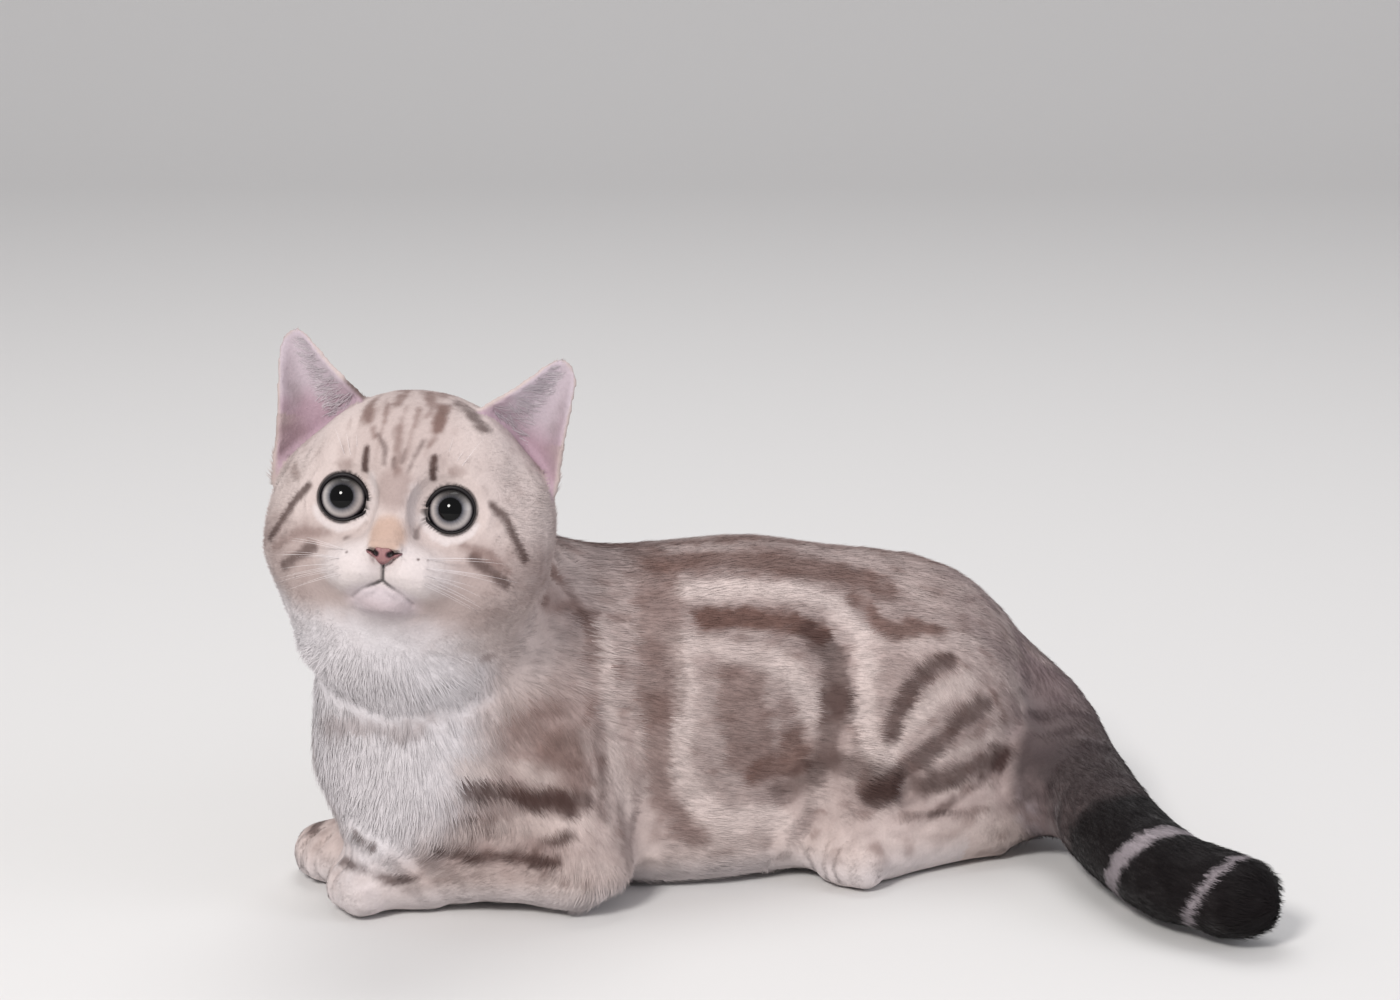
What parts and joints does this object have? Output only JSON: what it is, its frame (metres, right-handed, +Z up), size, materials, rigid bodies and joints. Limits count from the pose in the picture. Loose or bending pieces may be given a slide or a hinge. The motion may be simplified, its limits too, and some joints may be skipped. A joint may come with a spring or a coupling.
{
  "type": "munchkin cat",
  "caption": "Short-legged kitten lying on its chest, head raised and turned to one side, ears upright, thick tail swung round on the floor.",
  "frame": {"origin": "middle of the whole box, at floor level", "axes": "+X from the head towards the rump, +Y to the kitten's right, +Z up"},
  "size_m": [0.2794, 0.2302, 0.1762],
  "materials": {
    "light_coat": "short dense silver fur",
    "white_coat": "soft pale fur of the chest",
    "marked_coat": "short silver fur with grey-brown marbling",
    "dark_coat": "dark marbled fur",
    "black_coat": "near-black fur",
    "inner_ear": "thin pinkish ear with fine fur",
    "nose_leather": "fine-grained moist skin",
    "eye": "wet and glossy"
  },
  "bodies": {
    "root": {"head": "light_coat", "nose": "nose_leather", "eye_left": "eye", "eye_right": "eye", "ear_left": "inner_ear", "ear_right": "inner_ear", "neck": "light_coat", "chest": "white_coat", "belly": "marked_coat", "rump": "marked_coat", "upper_arm_left": "marked_coat", "upper_arm_right": "marked_coat", "forearm_left": "marked_coat", "forearm_right": "marked_coat", "forepaw_left": "light_coat", "forepaw_right": "light_coat", "thigh_left": "marked_coat", "thigh_right": "marked_coat", "hind_foot_left": "light_coat", "hind_foot_right": "light_coat", "tail_base": "dark_coat", "tail_middle": "dark_coat", "tail_tip": "black_coat"}
  },
  "joints": []
}
